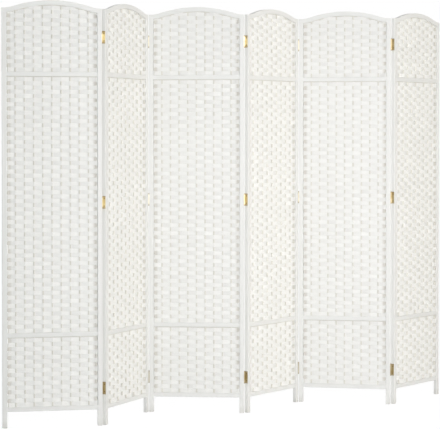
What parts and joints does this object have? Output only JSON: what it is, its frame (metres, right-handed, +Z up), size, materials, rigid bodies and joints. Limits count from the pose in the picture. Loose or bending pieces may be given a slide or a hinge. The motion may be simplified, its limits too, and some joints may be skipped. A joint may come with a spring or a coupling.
{
  "type": "accordion folding partition",
  "caption": "Free-standing folding screen: arched painted timber frames with a woven paper cord infill, joined edge to edge by brass butt hinges that fold it up like an accordion.",
  "frame": {"origin": "on the floor, at the middle of the bounding box's underside, with the screen standing at the folds of the picture", "axes": "+X along the line that the zigzag stands on, from panel 1 to panel 6, +Y towards the back, +Z up"},
  "size_m": [2.1084, 0.3147, 1.7],
  "materials": {
    "painted_timber": "white satin paint on solid timber",
    "paper_cord": "matt white twisted paper cord",
    "rod_wood": "white-washed turned rod, matt",
    "hinge_brass": "brass plate, satin"
  },
  "bodies": {
    "panel_1": {"panel_1_left_stile": "painted_timber", "panel_1_right_stile": "painted_timber", "panel_1_top_rail": "painted_timber", "panel_1_cross_rails": "painted_timber", "panel_1_woven_infill": "paper_cord", "panel_1_warp_rods": "rod_wood", "panel_1_hinge_screws": "hinge_brass", "hinge_1_left_leaves": "hinge_brass", "hinge_1_pins": "hinge_brass"},
    "panel_2": {"panel_2_left_stile": "painted_timber", "panel_2_right_stile": "painted_timber", "panel_2_top_rail": "painted_timber", "panel_2_cross_rails": "painted_timber", "panel_2_woven_infill": "paper_cord", "panel_2_warp_rods": "rod_wood", "panel_2_hinge_screws": "hinge_brass", "hinge_2_left_leaves": "hinge_brass", "hinge_2_pins": "hinge_brass", "hinge_1_right_leaves": "hinge_brass"},
    "panel_3": {"panel_3_left_stile": "painted_timber", "panel_3_right_stile": "painted_timber", "panel_3_top_rail": "painted_timber", "panel_3_cross_rails": "painted_timber", "panel_3_woven_infill": "paper_cord", "panel_3_warp_rods": "rod_wood", "panel_3_hinge_screws": "hinge_brass", "hinge_3_left_leaves": "hinge_brass", "hinge_3_pins": "hinge_brass", "hinge_2_right_leaves": "hinge_brass"},
    "panel_4": {"panel_4_left_stile": "painted_timber", "panel_4_right_stile": "painted_timber", "panel_4_top_rail": "painted_timber", "panel_4_cross_rails": "painted_timber", "panel_4_woven_infill": "paper_cord", "panel_4_warp_rods": "rod_wood", "panel_4_hinge_screws": "hinge_brass", "hinge_4_left_leaves": "hinge_brass", "hinge_4_pins": "hinge_brass", "hinge_3_right_leaves": "hinge_brass"},
    "panel_5": {"panel_5_left_stile": "painted_timber", "panel_5_right_stile": "painted_timber", "panel_5_top_rail": "painted_timber", "panel_5_cross_rails": "painted_timber", "panel_5_woven_infill": "paper_cord", "panel_5_warp_rods": "rod_wood", "panel_5_hinge_screws": "hinge_brass", "hinge_5_left_leaves": "hinge_brass", "hinge_5_pins": "hinge_brass", "hinge_4_right_leaves": "hinge_brass"},
    "panel_6": {"panel_6_left_stile": "painted_timber", "panel_6_right_stile": "painted_timber", "panel_6_top_rail": "painted_timber", "panel_6_cross_rails": "painted_timber", "panel_6_woven_infill": "paper_cord", "panel_6_warp_rods": "rod_wood", "panel_6_hinge_screws": "hinge_brass", "hinge_5_right_leaves": "hinge_brass"}
  },
  "joints": [
    {"name": "fold_1", "type": "hinge", "parent": "panel_1", "child": "panel_2", "pos_m": [-0.66666, -0.08893, 0.895], "axis": [0, 0, 1], "range_deg": [-55, 125]},
    {"name": "fold_2", "type": "hinge", "parent": "panel_2", "child": "panel_3", "pos_m": [-0.33961, 0.14477, 0.895], "axis": [0, 0, -1], "range_deg": [-72, 108]},
    {"name": "fold_3", "type": "hinge", "parent": "panel_3", "child": "panel_4", "pos_m": [0.00295, -0.06554, 0.895], "axis": [0, 0, 1], "range_deg": [-61, 119]},
    {"name": "fold_4", "type": "hinge", "parent": "panel_4", "child": "panel_5", "pos_m": [0.36859, 0.10145, 0.895], "axis": [0, 0, -1], "range_deg": [-67, 113]},
    {"name": "fold_5", "type": "hinge", "parent": "panel_5", "child": "panel_6", "pos_m": [0.68729, -0.14351, 0.895], "axis": [0, 0, 1], "range_deg": [-66, 114]}
  ]
}
